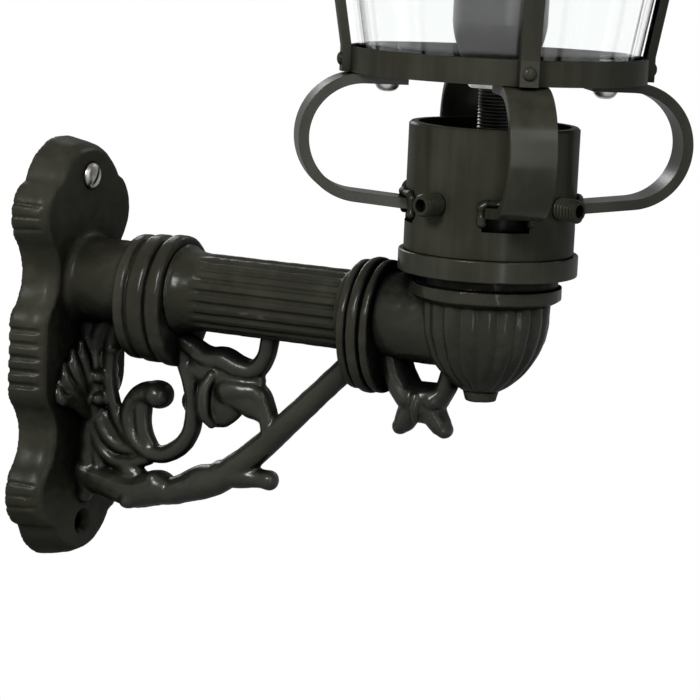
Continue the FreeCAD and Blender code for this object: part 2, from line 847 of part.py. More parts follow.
def earth_screw():
    head_top = spigot_floor_top + earth_head_height
    shank = post(earth_screw_radius - thread_gap, stub_bottom, spigot_floor_top, 0.0, -terminal_offset)
    return on_cup(shank.fuse(post(earth_head_radius, spigot_floor_top, head_top, 0.0, -terminal_offset)))


# Lantern socket, legs and base

def leg_underside(radius):
    """Height of a leg's lower face at a radius near the socket."""
    rise = math.radians(leg_rise_angle)
    outer_r = leg_bend_radius + leg_thickness / 2
    bend_start = leg_bend_centre + outer_r * math.sin(rise)
    bend_start_height = leg_bend_height - outer_r * math.cos(rise)
    return bend_start_height - (bend_start - radius) * math.tan(rise)


def lantern_socket():
    """Tube with a threaded hole for each set screw and a slot under the root of each leg."""
    top = socket_bottom + socket_length
    tube = turned(
        (socket_bore, socket_bottom),
        (socket_radius, socket_bottom),
        (socket_radius, top - socket_chamfer),
        (socket_radius - socket_chamfer, top),
        (socket_bore, top))
    holes = around(bar(set_screw_radius + thread_gap, 0.0, socket_radius, set_screw_height),
                   leg_count, set_screw_angle)
    slot_top = leg_underside(socket_radius)
    slot = block(socket_bore / 2, socket_radius, leg_width / 2 + leg_slot_side,
                 slot_top - leg_slot_height, slot_top)
    return on_cup(tube.cut(holes + around(slot, leg_count, leg_first_angle)))


def set_screws():
    tip = spigot_radius + seat_gap
    outer = socket_radius + set_screw_stand_out
    screw = bar(set_screw_radius, tip, outer, set_screw_height)
    screw = screw.cut(bar(set_screw_key_radius, outer - set_screw_key_depth, outer, set_screw_height))
    screws = around(screw, leg_count, set_screw_angle)
    return on_cup(Part.makeCompound(screws))


def leg(index):
    """Flat strap that leaves the socket, loops out and returns under the base tray."""
    rise = math.radians(leg_rise_angle)
    half = leg_thickness / 2
    inner_r = leg_bend_radius - half
    outer_r = leg_bend_radius + half
    run = leg_bend_centre + leg_bend_radius * math.sin(rise) - socket_bore

    def on_bend(radius, angle):
        return (leg_bend_centre + radius * math.cos(angle), leg_bend_height + radius * math.sin(angle))

    def back_along(point):
        return (point[0] - run, point[1] - run * math.tan(rise))

    low = rise - math.pi / 2
    face = face_from(
        lambda r, z: Vector(r, -leg_width / 2, z),
        back_along(on_bend(outer_r, low)),
        on_bend(outer_r, low),
        (on_bend(outer_r, 0.0), on_bend(outer_r, math.pi / 2)),
        (leg_foot_inner, leg_bend_height + outer_r),
        (leg_foot_inner, leg_bend_height + inner_r),
        on_bend(inner_r, math.pi / 2),
        (on_bend(inner_r, 0.0), on_bend(inner_r, low)),
        back_along(on_bend(inner_r, low)))
    strap = face.extrude(Vector(0, leg_width, 0))
    bolt_hole = post(leg_bolt_radius + thread_gap, leg_bend_height, tray_bottom, leg_bolt_circle)
    seat = post(socket_radius, socket_bottom, socket_bottom + socket_length)
    return on_cup(strap.cut([seat, bolt_hole]), leg_first_angle + 360.0 * index / leg_count)


def leg_bolts():
    head_top = tray_bottom - leg_thickness
    tip = tray_floor + leg_nut_thickness + leg_bolt_radius / 2
    bolt = turned((0.0, head_top - leg_bolt_head_height),
                  ((0.75 * leg_bolt_head_radius, head_top - 0.75 * leg_bolt_head_height),
                   (leg_bolt_head_radius, head_top)),
                  (leg_bolt_radius, head_top),
                  (leg_bolt_radius, tip),
                  (0.0, tip))
    bolt.translate(Vector(leg_bolt_circle, 0, 0))
    return on_cup(Part.makeCompound(around(bolt, leg_count, leg_first_angle)))


def leg_nuts():
    nut = hexagon(leg_nut_flats, leg_nut_thickness, Vector(leg_bolt_circle, 0, tray_floor), Z_AXIS)
    top = tray_floor + leg_nut_thickness
    nut = nut.cut(post(leg_bolt_radius + thread_gap, tray_floor, top, leg_bolt_circle))
    return on_cup(Part.makeCompound(around(nut, leg_count, leg_first_angle)))


def base_tray():
    lip_inner = tray_radius - tray_sheet
    tray = turned(
        (cable_tube_radius + thread_gap, tray_bottom),
        (tray_radius, tray_bottom),
        (tray_radius, tray_bottom + tray_lip_height),
        (lip_inner, tray_bottom + tray_lip_height),
        (lip_inner, tray_floor),
        (cable_tube_radius + thread_gap, tray_floor))
    hole = post(leg_bolt_radius + thread_gap, tray_bottom, tray_floor, leg_bolt_circle)
    return on_cup(tray.cut(around(hole, leg_count, leg_first_angle)))


def cable_tube():
    bottom = tray_bottom - cable_tube_below
    top = tray_floor + cable_tube_above
    return on_cup(post(cable_tube_radius, bottom, top).cut(post(cable_tube_bore, bottom, top)))


def stem_nuts():
    nuts = []
    for bottom in (tray_bottom - stem_nut_thickness, tray_floor):
        nut = hexagon(stem_nut_flats, stem_nut_thickness, Vector(0, 0, bottom), Z_AXIS)
        nuts.append(nut.cut(post(cable_tube_radius + thread_gap, bottom, bottom + stem_nut_thickness)))
    return on_cup(Part.makeCompound(nuts))


# Lamp

def lampholder():
    top = holder_bottom + holder_height
    socket_top = tray_floor + cable_tube_above
    return on_cup(turned(
        (cable_tube_radius + thread_gap, holder_bottom),
        (holder_base_radius, holder_bottom),
        ((0.88 * holder_radius, holder_bottom + 0.12 * holder_height), (holder_radius, lamp_seat)),
        (holder_radius, top),
        (holder_bore, top),
        (holder_bore, lamp_seat),
        (cable_tube_bore, lamp_seat),
        (cable_tube_bore, socket_top),
        (cable_tube_radius + thread_gap, socket_top)))


def lamp_cap():
    contact = lamp_cap_radius / 2
    return on_cup(turned(
        (0.0, lamp_seat),
        (contact, lamp_seat),
        (lamp_cap_radius, lamp_seat + 0.2 * lamp_cap_height),
        (lamp_cap_radius, bulb_bottom),
        (0.0, bulb_bottom)))


def lamp_bulb():
    centre = bulb_bottom + bulb_height - bulb_radius
    inner = bulb_radius - bulb_glass
    neck = bulb_neck_radius - bulb_glass
    shoulder = bulb_bottom + 0.42 * (centre - bulb_bottom)
    return on_cup(turned(
        (0.0, bulb_bottom),
        (bulb_neck_radius, bulb_bottom),
        ((0.62 * bulb_radius, shoulder), (bulb_radius, centre)),
        ((bulb_radius * math.sqrt(0.5), centre + bulb_radius * math.sqrt(0.5)), (0.0, centre + bulb_radius)),
        (0.0, centre + inner),
        ((inner * math.sqrt(0.5), centre + inner * math.sqrt(0.5)), (inner, centre)),
        ((0.62 * bulb_radius - bulb_glass, shoulder), (neck, bulb_bottom + bulb_glass)),
        (0.0, bulb_bottom + bulb_glass)))


# Glass, ribs and top ring

def seal(radius, bottom):
    """Flat ring under or over the edge of the glass."""
    ring = post(radius + gasket_overhang, bottom, bottom + gasket_thickness)
    return on_cup(ring.cut(post(radius - glass_wall - gasket_overhang, bottom, bottom + gasket_thickness)))


def glass_shade():
    return on_cup(turned(
        (glass_bottom_radius - glass_wall, glass_bottom),
        (glass_bottom_radius, glass_bottom),
        (glass_top_radius, glass_top),
        (glass_top_radius - glass_wall, glass_top)))


def rib(index):
    """Bar outside the glass, from the tray's lip to the top ring."""
    foot_top = tray_bottom + tray_lip_height
    face = face_from(
        lambda r, z: Vector(r, -rib_width / 2, z),
        (tray_radius - rib_thickness, tray_bottom),
        (tray_radius + rib_thickness, tray_bottom),
        (tray_radius + rib_thickness, foot_top),
        (ring_radius + rib_thickness, ring_bottom),
        (ring_radius + rib_thickness, ring_top),
        (ring_radius - rib_thickness / 2, ring_top),
        (ring_radius - rib_thickness / 2, ring_bottom),
        (ring_radius, ring_bottom),
        (tray_radius, foot_top),
        (tray_radius - rib_thickness, foot_top))
    strip = face.extrude(Vector(0, rib_width, 0))
    seats = [post(tray_radius, tray_bottom, foot_top), post(ring_radius, ring_bottom, ring_top)]
    return on_cup(strip.cut(seats), leg_first_angle + 360.0 * index / leg_count)


def top_ring():
    ring = post(ring_radius, ring_bottom, ring_top)
    return on_cup(ring.cut(post(ring_radius - ring_width, ring_bottom, ring_top)))


# Canopy and hinge, drawn towards +X and turned to the rear rib

def hinge_axis_bar(radius, start, end):
    """Cylinder along the hinge axis, between two places across the rib."""
    return Part.makeCylinder(radius, end - start, Vector(hinge_reach, start, hinge_height), Y_AXIS)


def hinge_bracket():
    lip_bottom = rim_underside - canopy_lip
    plate_top = lip_bottom - hinge_plate_drop
    rib_face = ring_radius + rib_thickness
    reach = hinge_reach + knuckle_radius
    solid = block(rib_face, reach, hinge_half_width, plate_top - hinge_plate, plate_top)
    inner = knuckle_length / 2 + knuckle_gap
    for side in (-1, 1):
        start = min(side * inner, side * hinge_half_width)
        end = max(side * inner, side * hinge_half_width)
        cheek = Part.makeBox(2 * knuckle_radius, end - start, hinge_height - plate_top,
                             Vector(hinge_reach - knuckle_radius, start, plate_top))
        solid = solid.fuse([cheek, hinge_axis_bar(knuckle_radius, start, end)])
    bore = hinge_axis_bar(hinge_pin_radius + thread_gap, -hinge_half_width, hinge_half_width)
    return on_cup(solid.cut(bore), hinge_angle)


def hinge_pin():
    end = hinge_half_width + hinge_pin_end
    return on_cup(hinge_axis_bar(hinge_pin_radius, -end, end), hinge_angle)


def hinge_leaf():
    start = canopy_radius - canopy_rim_width
    half = knuckle_length / 2
    strap = block(start, hinge_reach, half, rim_upper, rim_upper + hinge_leaf_sheet)
    solid = strap.fuse(hinge_axis_bar(knuckle_radius, -half, half))
    return on_cup(solid.cut(hinge_axis_bar(hinge_pin_radius + thread_gap, -half, half)), hinge_angle)


def closing_lug():
    lip_bottom = rim_underside - canopy_lip
    top = lip_bottom - hinge_plate_drop
    bottom = top - closing_lug_thickness
    rib_face = ring_radius + rib_thickness
    lug = block(rib_face, closing_reach, closing_tongue_half_width, bottom, top)
    lug = lug.fuse(post(closing_tongue_half_width, bottom, top, closing_reach))
    hole = post(closing_screw_radius + closing_screw_clearance, bottom, top, closing_reach)
    return on_cup(lug.cut(hole), hinge_angle + 180.0)


def canopy():
    rim_inner = canopy_radius - canopy_rim_width
    lip_inner = canopy_radius - canopy_sheet
    lip_bottom = rim_underside - canopy_lip
    neck_inner = canopy_neck_radius - canopy_sheet
    waist_height = rim_upper + canopy_waist_height
    shell = turned(
        (canopy_radius, lip_bottom),
        (canopy_radius, rim_upper),
        (rim_inner, rim_upper),
        ((canopy_waist_radius, waist_height), (canopy_neck_radius, canopy_top)),
        (neck_inner, canopy_top),
        ((canopy_waist_radius - 0.75 * canopy_sheet, waist_height - 0.75 * canopy_sheet),
         (rim_inner - canopy_sheet, rim_underside)),
        (lip_inner, rim_underside),
        (lip_inner, lip_bottom))
    tongue = block(-closing_reach, -lip_inner, closing_tongue_half_width, rim_underside, rim_upper)
    tongue = tongue.fuse(post(closing_tongue_half_width, rim_underside, rim_upper, -closing_reach))
    hole = post(closing_screw_radius + thread_gap, rim_underside, rim_upper, -closing_reach)
    return on_cup(shell.fuse(tongue).cut(hole), hinge_angle)


def closing_screw():
    lug_bottom = rim_underside - canopy_lip - hinge_plate_drop - closing_lug_thickness
    head_top = rim_upper + closing_head_height
    screw = post(closing_screw_radius, lug_bottom, rim_upper, closing_reach)
    head = post(closing_head_radius, rim_upper, head_top, closing_reach)
    return on_cup(screw.fuse(head), hinge_angle + 180.0)


def vent_chimney():
    bore = canopy_neck_radius - vent_wall
    tube = post(canopy_neck_radius, canopy_top, vent_top).cut(post(bore, canopy_top, vent_top))
    slot = block(0.0, canopy_neck_radius + vent_wall, vent_slot_width / 2,
                 canopy_top + vent_slot_margin, vent_top - vent_slot_margin)
    return on_cup(tube.cut(around(slot, vent_slot_count)))


def vent_cap():
    return on_cup(turned(
        (0.0, vent_top),
        (cap_radius - cap_edge, vent_top),
        (cap_radius - cap_edge, vent_top - cap_edge),
        (cap_radius, vent_top - cap_edge),
        (cap_radius, vent_top),
        ((0.72 * cap_radius, vent_top + 0.68 * cap_height), (finial_base_radius, cap_top)),
        (0.0, cap_top)))


def finial():
    ball_centre = cap_top + 0.45 * finial_height
    reach = math.sqrt(finial_ball_radius ** 2 - finial_neck_radius ** 2)
    spike_root = ball_centre + reach
    flare = finial_neck_radius + 0.3 * (finial_base_radius - finial_neck_radius)
    top = cap_top + finial_height
    return on_cup(turned(
        (0.0, cap_top),
        (finial_base_radius, cap_top),
        ((flare, cap_top + 0.1 * finial_height), (finial_neck_radius, ball_centre - reach)),
        ((finial_ball_radius, ball_centre), (finial_neck_radius, spike_root)),
        ((0.5 * finial_neck_radius, (spike_root + top) / 2 - 0.1 * finial_neck_radius),
         (finial_tip_radius, top)),
        (0.0, top)))


def all_parts():
    parts = {
        "wall_plate": wall_plate(),
        "inner_collar": inner_collar(),
        "fluted_tube": fluted_tube(),
        "outer_collar": outer_collar(),
        "elbow_cup": elbow_cup(),
        "drain_plug": drain_plug(),
        "conduit": conduit(),
        "wall_lock_nut": conduit_nut(wire_pocket_depth - lock_nut_thickness),
        "cup_lock_nut": conduit_nut(cup_nut_seat),
        "scrollwork": scrollwork(),
        "pendant_leaf": pendant_leaf(),
        "spigot": spigot(),
        "terminal_block": terminal_block(),
        "earth_screw": earth_screw(),
        "lantern_socket": lantern_socket(),
        "set_screws": set_screws(),
        "leg_bolts": leg_bolts(),
        "leg_nuts": leg_nuts(),
        "base_tray": base_tray(),
        "cable_tube": cable_tube(),
        "stem_nuts": stem_nuts(),
        "lampholder": lampholder(),
        "lamp_cap": lamp_cap(),
        "lamp_bulb": lamp_bulb(),
        "glass_gasket": seal(glass_bottom_radius, tray_floor),
        "glass_shade": glass_shade(),
        "glass_top_seal": seal(glass_top_radius, glass_top),
        "top_ring": top_ring(),
        "hinge_bracket": hinge_bracket(),
        "hinge_pin": hinge_pin(),
        "closing_lug": closing_lug(),
        "canopy": canopy(),
        "hinge_leaf": hinge_leaf(),
        "closing_screw": closing_screw(),
        "vent_chimney": vent_chimney(),
        "vent_cap": vent_cap(),
        "finial": finial(),
    }
    for index in range(leg_count):
        parts[f"leg_{index + 1}"] = leg(index)
        parts[f"rib_{index + 1}"] = rib(index)
    return parts


os.makedirs("parts", exist_ok=True)
for name, shape in all_parts().items():
    shape.exportStep(f"parts/{name}.step")
    print(name, "valid" if shape.isValid() else "NOT VALID", len(shape.Solids), round(shape.Volume, 1))
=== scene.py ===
import json
import math

import bmesh
import bpy
from mathutils import Matrix, Vector


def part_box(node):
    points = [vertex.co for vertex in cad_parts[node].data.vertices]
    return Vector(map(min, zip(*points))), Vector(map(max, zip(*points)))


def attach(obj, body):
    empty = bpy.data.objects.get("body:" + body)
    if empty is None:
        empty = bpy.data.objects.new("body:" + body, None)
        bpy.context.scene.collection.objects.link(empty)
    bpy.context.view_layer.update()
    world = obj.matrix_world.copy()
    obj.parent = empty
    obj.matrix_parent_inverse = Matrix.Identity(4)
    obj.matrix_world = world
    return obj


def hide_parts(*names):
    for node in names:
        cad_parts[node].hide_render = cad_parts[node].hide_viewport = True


# A cast iron wall lantern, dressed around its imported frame. Lengths are millimetres until a mesh is made.

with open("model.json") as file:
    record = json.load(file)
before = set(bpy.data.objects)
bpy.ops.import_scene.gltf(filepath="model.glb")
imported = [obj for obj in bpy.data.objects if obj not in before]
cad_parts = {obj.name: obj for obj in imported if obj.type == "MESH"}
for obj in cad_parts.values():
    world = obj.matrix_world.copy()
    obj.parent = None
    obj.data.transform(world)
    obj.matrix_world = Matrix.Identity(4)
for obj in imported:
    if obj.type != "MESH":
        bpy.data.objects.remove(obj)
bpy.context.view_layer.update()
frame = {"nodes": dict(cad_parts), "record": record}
nodes = frame["nodes"]
MM = 0.001

# Places taken from the frame
spigot_low, spigot_high = [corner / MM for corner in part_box("spigot")]
cup_axis_x = (spigot_low.x + spigot_high.x) / 2
socket_low, socket_high = [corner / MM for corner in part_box("lantern_socket")]
socket_radius = (socket_high.x - socket_low.x) / 2
tube_low, tube_high = [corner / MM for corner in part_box("fluted_tube")]
tray_low, tray_high = [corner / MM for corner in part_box("base_tray")]
tray_radius = (tray_high.x - tray_low.x) / 2
ring_low, ring_high = [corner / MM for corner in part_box("top_ring")]
ring_radius = (ring_high.x - ring_low.x) / 2
cable_tube_low, cable_tube_high = [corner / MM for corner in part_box("cable_tube")]
screws_low, screws_high = [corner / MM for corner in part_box("set_screws")]
spigot_radius = (spigot_high.x - spigot_low.x) / 2
holes = next(mount for mount in frame["record"]["mounts"] if mount["name"] == "wall_screws")

# Places that the boxes of the frame don't give
leg_angle = 35.0
set_screw_angle = 76.0
set_screw_tip = 33.9
set_screw_end = 49.0
rib_thickness = 4.0
plate_front = 18.0
outwards = Matrix.Rotation(math.radians(90.0), 4, "Y")

# How the meshes are made
weld_gap = 0.002
sharp_edge = 35.0
sharp_thread = 50.0
edge_break = 0.7
sand_depth = 0.55
sand_spacing = 7.0

# The photograph's camera
view_azimuth = math.radians(27.0)
view_elevation = math.radians(9.49)
view_roll = math.radians(2.58)
view_distance = 1198.91
view_target = Vector((161.6, 0.0, 16.93))
view_lens = 133.71
view_sensor = 36.0


# Shader expressions

class Value:
    """A shader socket that takes part in Python sums."""

    def __init__(self, shader, socket):
        self.shader = shader
        self.socket = socket

    def combine(self, operation, first, second):
        return self.shader.add("ShaderNodeMath", {"operation": operation}, {0: first, 1: second})

    def __add__(self, other):
        return self.combine("ADD", self, other)

    def __radd__(self, other):
        return self.combine("ADD", other, self)

    def __sub__(self, other):
        return self.combine("SUBTRACT", self, other)

    def __rsub__(self, other):
        return self.combine("SUBTRACT", other, self)

    def __mul__(self, other):
        return self.combine("MULTIPLY", self, other)

    def __rmul__(self, other):
        return self.combine("MULTIPLY", other, self)


class Shader:
    """A material being written, or the nodes of a world."""

    def __init__(self, name, tree=None):
        if tree is None:
            self.material = bpy.data.materials.new(name)
            self.material.use_nodes = True
            tree = self.material.node_tree
        self.tree = tree
        self.tree.nodes.clear()

    def add(self, kind, settings=None, sockets=None, output=0):
        """Add a node with its settings, then fill its sockets with values or links."""
        node = self.tree.nodes.new(kind)
        for name, setting in (settings or {}).items():
            setattr(node, name, setting)
        for name, filling in (sockets or {}).items():
            if isinstance(filling, Value):
                self.tree.links.new(filling.socket, node.inputs[name])
            else:
                node.inputs[name].default_value = filling
        return Value(self, node.outputs[output]) if node.outputs else None

    def place(self, stretch=None):
        """Place on the object, with the pattern drawn out along an axis where a stretch is given."""
        spot = self.add("ShaderNodeTexCoord", output=3)
        if stretch is None:
            return spot
        return self.add("ShaderNodeVectorMath", {"operation": "MULTIPLY"}, {0: spot, 1: stretch})

    def noise(self, scale, detail=3.0, roughness=0.55, stretch=None):
        settings = {"Vector": self.place(stretch), "Scale": scale, "Detail": detail, "Roughness": roughness}
        return self.add("ShaderNodeTexNoise", None, settings)

    def between(self, value, low, high):
        """Stretch a value so that low becomes 0 and high becomes 1, held there."""
        return self.add("ShaderNodeMapRange", {"interpolation_type": "SMOOTHSTEP"},
                        {"Value": value, "From Min": low, "From Max": high})

    def mix(self, mask, first, second):
        return self.add("ShaderNodeMix", {"data_type": "RGBA"}, {0: mask, 6: first, 7: second}, 2)

    def edges(self):
        """How sharply the surface bends outwards, about a half on flat ground."""
        return self.add("ShaderNodeNewGeometry", output=7)

    def facing_down(self):
        """1 on undersides, 0 on upright walls and below 0 on upper sides."""
        normal = self.add("ShaderNodeNewGeometry", output=1)
        down = (0.0, 0.0, -1.0)
        return self.add("ShaderNodeVectorMath", {"operation": "DOT_PRODUCT"}, {0: normal, 1: down}, 1)

    def shelter(self, reach):
        """1 in the open, falling to 0 in corners and hollows narrower than a reach."""
        return self.add("ShaderNodeAmbientOcclusion", {"samples": 8}, {"Distance": reach}, 1)

    def bump(self, height, depth, strength=1.0):
        return self.add("ShaderNodeBump", None, {"Height": height, "Distance": depth, "Strength": strength})

    def finish(self, sockets):
        """End in a Principled shader with these sockets."""
        surface = self.add("ShaderNodeBsdfPrincipled", None, sockets)
        self.add("ShaderNodeOutputMaterial", None, {"Surface": surface})
        return self.material


def colour(red, green, blue):
    return (red, green, blue, 1.0)


def cast_paint(name, shine, softness, tone=1.0, painted_shade_reach=0.05):
    """Satin black over a rough casting, with orange peel, dull patches, pale high spots that are edge wear
    and a painted highlight, and painted shade that darkens the colour and thins the coat in hollows and on
    undersides.
    """
    fresh = colour(0.0136 * tone, 0.0135 * tone, 0.0091 * tone)
    faded = colour(0.0256 * tone, 0.0254 * tone, 0.0188 * tone)
    # Pale colour on high edges: edge wear plus a painted highlight
    rubbed_and_highlight = colour(0.052, 0.051, 0.040)
    # Painted shade: near black, laid into hollows and, at up to half strength, onto undersides
    painted_shade = colour(0.0020, 0.0018, 0.0020)
    shader = Shader(name)
    patches = shader.noise(38.0, 4.0)
    grain = shader.noise(620.0, 3.0)
    lumps = shader.noise(150.0, 4.0, 0.6)
    dull = shader.between(patches, 0.40, 0.70)
    high = shader.between(shader.edges() + (lumps - 0.5) * 0.08, 0.52, 0.62)
    # Shelter mask: where it falls, painted shade darkens the colour and thins the coat
    open_ground = shader.between(shader.shelter(painted_shade_reach) + (lumps - 0.5) * 0.2, 0.40, 0.95)
    # Painted shade on undersides: a darker colour and a thinner coat, set by which way the surface faces
    shaded_underside = shader.between(shader.facing_down() + (lumps - 0.5) * 0.3, 0.0, 0.8)
    base = shader.mix(dull, fresh, faded)
    base = shader.mix(high * 0.5, base, rubbed_and_highlight)
    base = shader.mix(open_ground * (1.0 - shaded_underside * 0.5), painted_shade, base)
    roughness = 0.21 + dull * 0.14 + (grain - 0.5) * 0.14
    peel = shader.bump(grain * 0.3 + lumps, 0.0008, 0.8)
    gloss = open_ground * shine * (1.0 - dull * 0.3) * (1.0 - shaded_underside * 0.5)
    return shader.finish({"Base Color": base, "Roughness": roughness, "Specular IOR Level": 0.0,
                          "Coat Weight": gloss, "Coat Roughness": softness, "Normal": peel})


def tube_paint(name, shine, softness):
    """The same black on rolled steel: smoother, cloudy, faintly streaked, with painted shade that darkens the
    colour and thins the coat in the corners.
    """
    fresh = colour(0.0138, 0.0137, 0.0094)
    faded = colour(0.0268, 0.0266, 0.0198)
    # Painted shade: near black, laid into corners
    painted_shade = colour(0.0034, 0.0032, 0.0031)
    shader = Shader(name)
    streaks = shader.noise(130.0, 3.0, stretch=(1.0, 1.0, 0.06))
    patches = shader.noise(30.0, 3.0) * 0.5 + streaks * 0.5
    grain = shader.noise(800.0, 2.0)
    waves = shader.noise(70.0, 2.0)
    # Shelter mask: where it falls, painted shade darkens the colour and thins the coat
    open_ground = shader.between(shader.shelter(0.02) + (patches - 0.5) * 0.2, 0.25, 0.8)
    base = shader.mix(shader.between(patches, 0.35, 0.7), fresh, faded)
    base = shader.mix(open_ground, painted_shade, base)
    roughness = 0.19 + patches * 0.14 + (grain - 0.5) * 0.08
    gloss = open_ground * (shine - streaks * 0.12)
    return shader.finish({"Base Color": base, "Roughness": roughness, "Specular IOR Level": 0.0,
                          "Coat Weight": gloss, "Coat Roughness": softness,
                          "Normal": shader.bump(grain * 0.3 + waves, 0.0004, 0.35)})


def metal(name, pale, dark, roughness):
    """Bare metal with faint stains."""
    shader = Shader(name)
    stains = shader.noise(90.0, 4.0)
    grain = shader.noise(900.0, 2.0)
    base = shader.mix(shader.between(stains, 0.35, 0.7), colour(*pale), colour(*dark))
    uneven = roughness + (stains - 0.5) * 0.2
    return shader.finish({"Base Color": base, "Metallic": 1.0, "Roughness": uneven,
                          "Normal": shader.bump(grain, 0.0002, 0.3)})


def moulded(name, pale, dark, roughness):
    """Moulded plastic or rubber with a fine grain."""
    shader = Shader(name)
    patches = shader.noise(60.0, 3.0)
    grain = shader.noise(1100.0, 2.0)
    base = shader.mix(patches, colour(*pale), colour(*dark))
    uneven = roughness + (patches - 0.5) * 0.15
    return shader.finish({"Base Color": base, "Roughness": uneven,
                          "Normal": shader.bump(grain, 0.0002, 0.35)})


def clear_glass():
    """Drawn glass with slow waves in it."""
    shader = Shader("clear_glass")
    waves = shader.noise(14.0, 1.0)
    dust = shader.between(shader.noise(45.0, 4.0), 0.55, 0.8)
    faint_green = colour(0.97, 0.985, 0.98)
    return shader.finish({"Base Color": faint_green, "Roughness": 0.02 + dust * 0.05,
                          "Transmission Weight": 1.0, "IOR": 1.45, "Normal": shader.bump(waves, 0.002, 0.12)})


def opal_glass():
    """Milky glass that lets light into it."""
    shader = Shader("opal_glass")
    clouds = shader.noise(50.0, 2.0)
    base = shader.mix(clouds, colour(0.86, 0.86, 0.83), colour(0.92, 0.92, 0.90))
    return shader.finish({"Base Color": base, "Roughness": 0.25 + clouds * 0.08, "Subsurface Weight": 0.3,
                          "Subsurface Radius": (0.004, 0.004, 0.004)})


finishes = {
    "cast": cast_paint("cast_paint", shine=0.19, softness=0.25),
    # The plate's painted shade reaches further, so its front under the arm and scrollwork goes dark
    "plate": cast_paint("plate_paint", shine=0.14, softness=0.34, painted_shade_reach=0.13),
    "cup": cast_paint("cup_paint", shine=0.30, softness=0.20, tone=0.88),
    "ornament": cast_paint("ornament_paint", shine=0.46, softness=0.26, tone=0.80),
    "tube": tube_paint("tube_paint", shine=0.18, softness=0.24),
    "strap": tube_paint("strap_paint", shine=0.28, softness=0.22),
    "steel": metal("zinc_steel", (0.56, 0.56, 0.55), (0.42, 0.42, 0.40), 0.38),
    "bright": metal("bright_steel", (0.72, 0.71, 0.69), (0.58, 0.57, 0.55), 0.30),
    "dull": metal("dull_steel", (0.24, 0.235, 0.225), (0.09, 0.088, 0.083), 0.36),
    "dark": metal("dark_steel", (0.045, 0.044, 0.042), (0.075, 0.073, 0.070), 0.42),
    "brass": metal("brass", (0.72, 0.53, 0.25), (0.52, 0.36, 0.16), 0.35),
    "white": moulded("white_plastic", (0.82, 0.82, 0.79), (0.76, 0.76, 0.72), 0.5),
    "black": moulded("black_plastic", (0.018, 0.018, 0.018), (0.028, 0.028, 0.027), 0.35),
    "rubber": moulded("seal_rubber", (0.02, 0.02, 0.02), (0.035, 0.034, 0.033), 0.75),
    "glass": clear_glass(),
    "opal": opal_glass(),
}

# Finish of every node: a casting that isn't named here has the plain cast paint
node_finishes = {
    "steel": ["conduit", "wall_lock_nut", "cup_lock_nut", "leg_bolts", "leg_nuts", "stem_nuts",
              "hinge_pin"],
    "brass": ["earth_screw", "closing_screw"],
    "bright": ["lamp_cap"],
    "white": ["terminal_block"],
    "black": ["lampholder"],
    "rubber": ["glass_gasket", "glass_top_seal"],
    "glass": ["glass_shade"],
    "opal": ["lamp_bulb"],
    "plate": ["wall_plate"],
    "cup": ["elbow_cup"],
    "strap": ["spigot", "leg_1", "leg_2", "leg_3", "leg_4"],
    "ornament": ["scrollwork", "pendant_leaf"],
    "tube": ["lantern_socket", "set_screws", "cable_tube", "base_tray", "top_ring", "rib_1", "rib_2",
             "rib_3", "rib_4", "hinge_bracket", "closing_lug", "canopy", "hinge_leaf", "vent_chimney",
             "vent_cap", "finial"],
}
finish_of = {node: finish for finish, members in node_finishes.items() for node in members}
for name, node in nodes.items():
    node.data.materials.clear()
    node.data.materials.append(finishes[finish_of.get(name, "cast")])


# Making of pieces

def add_piece(name, mesh, finish, body, stands_for=()):
    """Place a finished mesh on a body, in the stead of the nodes it stands for."""
    mesh.name = name
    mesh.materials.clear()
    mesh.materials.append(finishes[finish])
    piece = bpy.data.objects.new(name, mesh)
    bpy.context.scene.collection.objects.link(piece)
    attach(piece, body)
    if stands_for:
        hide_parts(*stands_for)


def strand(points, depth=1.0):
    """Round-ended strand through points (x, y, z, radius), made deeper or shallower across the arm."""
    curve = bpy.data.curves.new("strand", "CURVE")
    curve.dimensions = "3D"
    curve.bevel_depth = 1.0
    curve.bevel_resolution = 5
    curve.use_fill_caps = True
    spline = curve.splines.new("BEZIER")
    spline.resolution_u = 10
    spline.bezier_points.add(len(points) - 1)
    for knot, (x, y, z, radius) in zip(spline.bezier_points, points):
        knot.co = (x * MM, y * MM, z * MM)
        knot.radius = radius * MM
        knot.handle_left_type = "AUTO"
        knot.handle_right_type = "AUTO"
    holder = bpy.data.objects.new("strand", curve)
    mesh = bpy.data.meshes.new_from_object(holder)
    mesh.transform(Matrix.Diagonal((1.0, depth, 1.0, 1.0)))
    bpy.data.objects.remove(holder)
    bpy.data.curves.remove(curve)
    ends = [egg((x, y * depth, z), (radius, radius * depth, radius))
            for x, y, z, radius in (points[0], points[-1])]
    return joined([mesh] + ends)


def flat_strand(points, depth=1.0):
    """Strand in the plane of the arm, through points (x, z, radius)."""
    return strand([(x, 0.0, z, radius) for x, z, radius in points], depth)


def egg(centre, radii, tilt=0.0):
    """Egg-shaped lump, tilted in the plane of the arm."""
    form = bmesh.new()
    bmesh.ops.create_icosphere(form, subdivisions=3, radius=1.0)
    turn = Matrix.Rotation(math.radians(tilt), 4, "Y")
    stretch = Matrix.Diagonal((*(Vector(radii) * MM), 1.0))
    form.transform(Matrix.Translation(Vector(centre) * MM) @ turn @ stretch)
    mesh = bpy.data.meshes.new("egg")
    form.to_mesh(mesh)
    form.free()
    return mesh


def evaluated(mesh, modifiers):
    """Run a list of modifiers, each a type and its settings, on a mesh."""
    holder = bpy.data.objects.new("holder", mesh)
    bpy.context.scene.collection.objects.link(holder)
    for kind, settings in modifiers:
        modifier = holder.modifiers.new(kind.lower(), kind)
        for name, setting in settings.items():
            setattr(modifier, name, setting)
    graph = bpy.context.evaluated_depsgraph_get()
    result = bpy.data.meshes.new_from_object(holder.evaluated_get(graph))
    bpy.data.objects.remove(holder)
    bpy.data.meshes.remove(mesh)
    return result


